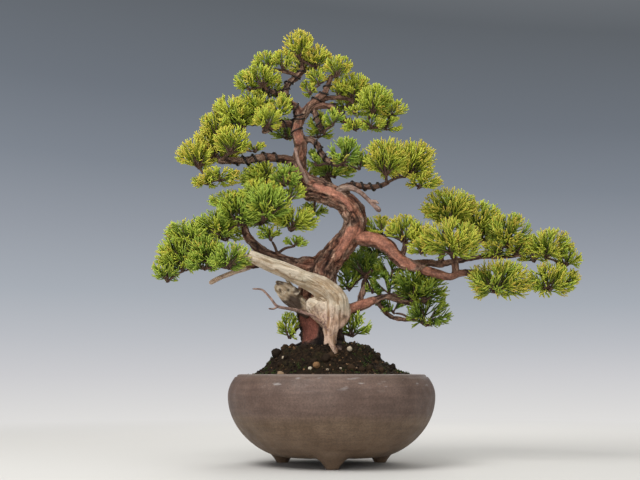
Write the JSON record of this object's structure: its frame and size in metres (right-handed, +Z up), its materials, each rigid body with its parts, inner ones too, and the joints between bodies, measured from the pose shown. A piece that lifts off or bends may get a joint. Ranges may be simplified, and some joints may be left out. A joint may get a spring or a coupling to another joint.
{
  "type": "itoigawa juniper bonsai",
  "caption": "Informal upright juniper bonsai with bleached deadwood and pads of cord-like foliage, growing in a round unglazed pot on three feet.",
  "frame": {"origin": "middle of the object's footprint, on the surface that the feet of the pot stand on", "axes": "+Z up; +X to the right and -Y to the front, as the tree is shown"},
  "size_m": [0.3716, 0.18, 0.3884],
  "materials": {
    "stoneware": "unglazed, matte",
    "soil": "coarse moist granules with some moss",
    "bark": "flaking bark in long strips",
    "deadwood": "bleached, weathered grain",
    "foliage": "waxy scale leaves on cord-like shoots, yellow green at the tips",
    "shade_foliage": "waxy scale leaves on cord-like shoots, deep green",
    "wire": "anodised dark brown",
    "plastic_mesh": "matte"
  },
  "bodies": {
    "root": {"pot": "stoneware", "drainage_mesh": "plastic_mesh", "soil": "soil", "trunk": "bark", "jin_main": "deadwood", "jin_peg": "deadwood", "jin_twig": "deadwood", "jin_spike": "deadwood", "jin_stub": "deadwood", "jin_stick": "deadwood", "wire_left_high": "wire", "wire_right_high": "wire", "wire_shoulder_right": "wire", "left_skirt": "foliage", "left_pad": "foliage", "left_drop": "foliage", "left_inner": "foliage", "left_high": "foliage", "shoulder_left": "foliage", "crown_left": "foliage", "crown_left_top": "foliage", "apex": "foliage", "crown_right": "foliage", "crown_right_back": "foliage", "shoulder_right": "foliage", "inner_right": "foliage", "inner_top": "foliage", "back_mid": "foliage", "back_high": "foliage", "back_low": "shade_foliage", "right_high": "foliage", "right_inner": "foliage", "right_front": "foliage", "right_top": "foliage", "right_rise": "foliage", "right_mid": "foliage", "right_low": "foliage", "right_tip": "foliage", "low_right": "shade_foliage", "low_right_under": "shade_foliage", "low_right_up": "shade_foliage", "base_left": "foliage", "base_right": "foliage", "right_under_sprig": "foliage"}
  },
  "joints": []
}
